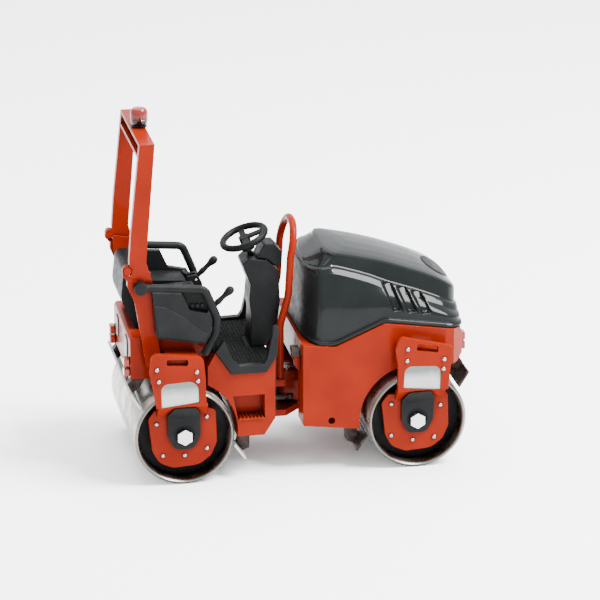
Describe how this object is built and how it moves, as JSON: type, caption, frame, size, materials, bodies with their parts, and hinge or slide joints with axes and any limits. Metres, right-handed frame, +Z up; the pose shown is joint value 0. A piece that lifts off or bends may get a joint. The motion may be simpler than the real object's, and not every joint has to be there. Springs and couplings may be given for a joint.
{
  "type": "toy road roller",
  "caption": "Die-cast toy tandem road roller with steel drums, an articulated frame, a glossy dark hood, an open driver's platform and a folding roll bar with a beacon.",
  "frame": {"origin": "On the ground under the articulation pin, midway between the two drum axles: the bottom centre of the bounding box.", "axes": "+X forward towards the hood, +Y to the machine's left, +Z up, the height."},
  "size_m": [0.0502, 0.0268, 0.0529],
  "materials": {
    "orange_paint": "gloss orange enamel over cast metal",
    "hood_gloss": "glossy near-black moulding",
    "dark_plastic": "satin black moulding",
    "mat_rubber": "ribbed black mat",
    "drum_steel": "turned bare steel",
    "bright_steel": "bright plated steel",
    "lamp_red": "orange-red lamp body",
    "beacon_plastic": "translucent amber-red dome"
  },
  "bodies": {
    "rear_frame": {"rear_chassis": "orange_paint", "rear_fork_right": "orange_paint", "rear_fork_left": "orange_paint", "rear_fork_plates": "bright_steel", "rear_hub_covers": "dark_plastic", "rear_fork_rivets": "bright_steel", "rear_scraper_blades": "bright_steel", "rear_scraper_brackets": "bright_steel", "rear_axle": "bright_steel", "rear_axle_nut": "bright_steel", "step_treads": "orange_paint", "floor_pan": "dark_plastic", "floor_mat": "mat_rubber", "seat_base": "dark_plastic", "seat_cushion": "dark_plastic", "seat_back": "dark_plastic", "console_right": "dark_plastic", "console_left": "dark_plastic", "handrail_right": "dark_plastic", "handrail_left": "dark_plastic", "lever_brackets": "dark_plastic", "lever_pins": "bright_steel", "instrument_pod": "dark_plastic", "steering_column": "dark_plastic", "grab_hoop": "orange_paint", "rear_lamps": "lamp_red", "roll_bar_post_right": "orange_paint", "roll_bar_post_left": "orange_paint", "roll_bar_pins": "bright_steel", "rear_yoke": "orange_paint", "articulation_pin": "bright_steel", "steering_ram": "bright_steel"},
    "rear_drum": {"rear_drum_shell": "drum_steel", "rear_drum_core": "dark_plastic"},
    "steering_wheel": {"steering_wheel": "dark_plastic"},
    "lever_right": {"travel_lever_right": "dark_plastic"},
    "lever_left": {"travel_lever_left": "dark_plastic"},
    "roll_bar": {"roll_bar_frame": "orange_paint", "beacon_base": "dark_plastic", "beacon_lens": "beacon_plastic"},
    "front_frame": {"front_chassis": "orange_paint", "front_fork_right": "orange_paint", "front_fork_left": "orange_paint", "front_fork_plates": "bright_steel", "front_hub_covers": "dark_plastic", "front_fork_rivets": "bright_steel", "front_scraper_blades": "bright_steel", "front_scraper_brackets": "bright_steel", "front_axle": "bright_steel", "front_axle_nut": "bright_steel", "front_yoke": "orange_paint", "hood": "hood_gloss", "nose_inlay": "dark_plastic", "engine_block": "dark_plastic", "harness_bracket": "dark_plastic", "harness_plug": "dark_plastic", "front_lamps": "lamp_red"},
    "front_drum": {"front_drum_shell": "drum_steel", "front_drum_core": "dark_plastic"}
  },
  "joints": [
    {"name": "articulation", "type": "hinge", "parent": "rear_frame", "child": "front_frame", "pos_m": [0, 0, 0.009], "axis": [0, 0, 1], "range_deg": [-15, 15]},
    {"name": "rear_drum_spin", "type": "hinge", "parent": "rear_frame", "child": "rear_drum", "pos_m": [-0.017, 0, 0.0072], "axis": [0, 1, 0], "continuous": true},
    {"name": "front_drum_spin", "type": "hinge", "parent": "front_frame", "child": "front_drum", "pos_m": [0.017, 0, 0.0072], "axis": [0, 1, 0], "continuous": true},
    {"name": "steering_wheel_spin", "type": "hinge", "parent": "rear_frame", "child": "steering_wheel", "pos_m": [-0.0062, -0.00015, 0.03275], "axis": [-0.342, -0.0819, 0.9361], "continuous": true},
    {"name": "roll_bar_fold", "type": "hinge", "parent": "rear_frame", "child": "roll_bar", "pos_m": [-0.02448, 0, 0.03173], "axis": [0, -1, 0], "range_deg": [0, 100]},
    {"name": "lever_right_tilt", "type": "hinge", "parent": "rear_frame", "child": "lever_right", "pos_m": [-0.0122, -0.0069, 0.0246], "axis": [0, 1, 0], "range_deg": [-15, 15]},
    {"name": "lever_left_tilt", "type": "hinge", "parent": "rear_frame", "child": "lever_left", "pos_m": [-0.0122, 0.0069, 0.0246], "axis": [0, 1, 0], "range_deg": [-15, 15]}
  ]
}
